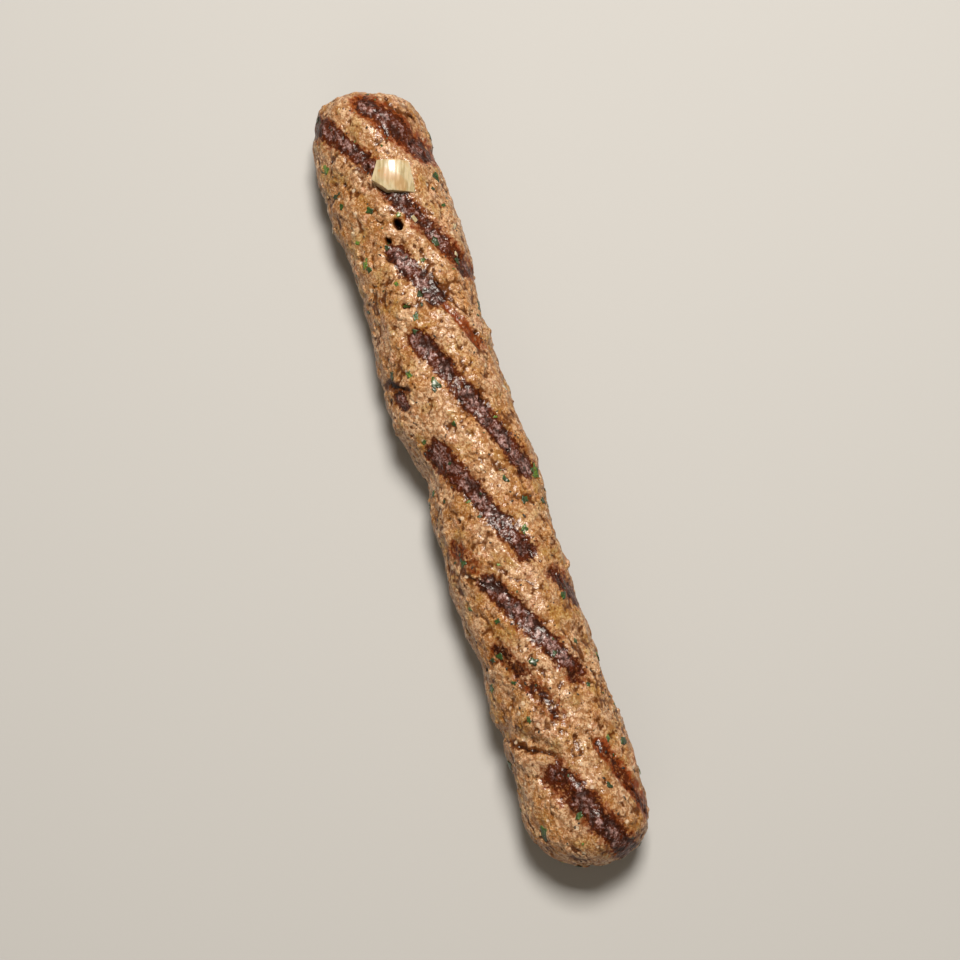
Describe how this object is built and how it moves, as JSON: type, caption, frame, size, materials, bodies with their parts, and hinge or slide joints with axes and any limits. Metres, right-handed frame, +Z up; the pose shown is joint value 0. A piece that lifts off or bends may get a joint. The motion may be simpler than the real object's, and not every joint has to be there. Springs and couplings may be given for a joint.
{
  "type": "kofta kebab",
  "caption": "Grilled minced meat kofta, a long uneven log off its skewer, with dark grill marks, parsley flecks and a chunk of onion set in its top.",
  "frame": {"origin": "middle of the bounding box's footprint, on the flat underside", "axes": "+X along the log, towards its rounder end; +Z up, out of the side with the grill marks and the onion chunk"},
  "size_m": [0.2, 0.0316, 0.0257],
  "materials": {
    "meat": "browned, moist",
    "onion": "translucent, moist"
  },
  "bodies": {
    "root": {"kofta_log": "meat", "onion_chunk": "onion"}
  },
  "joints": []
}
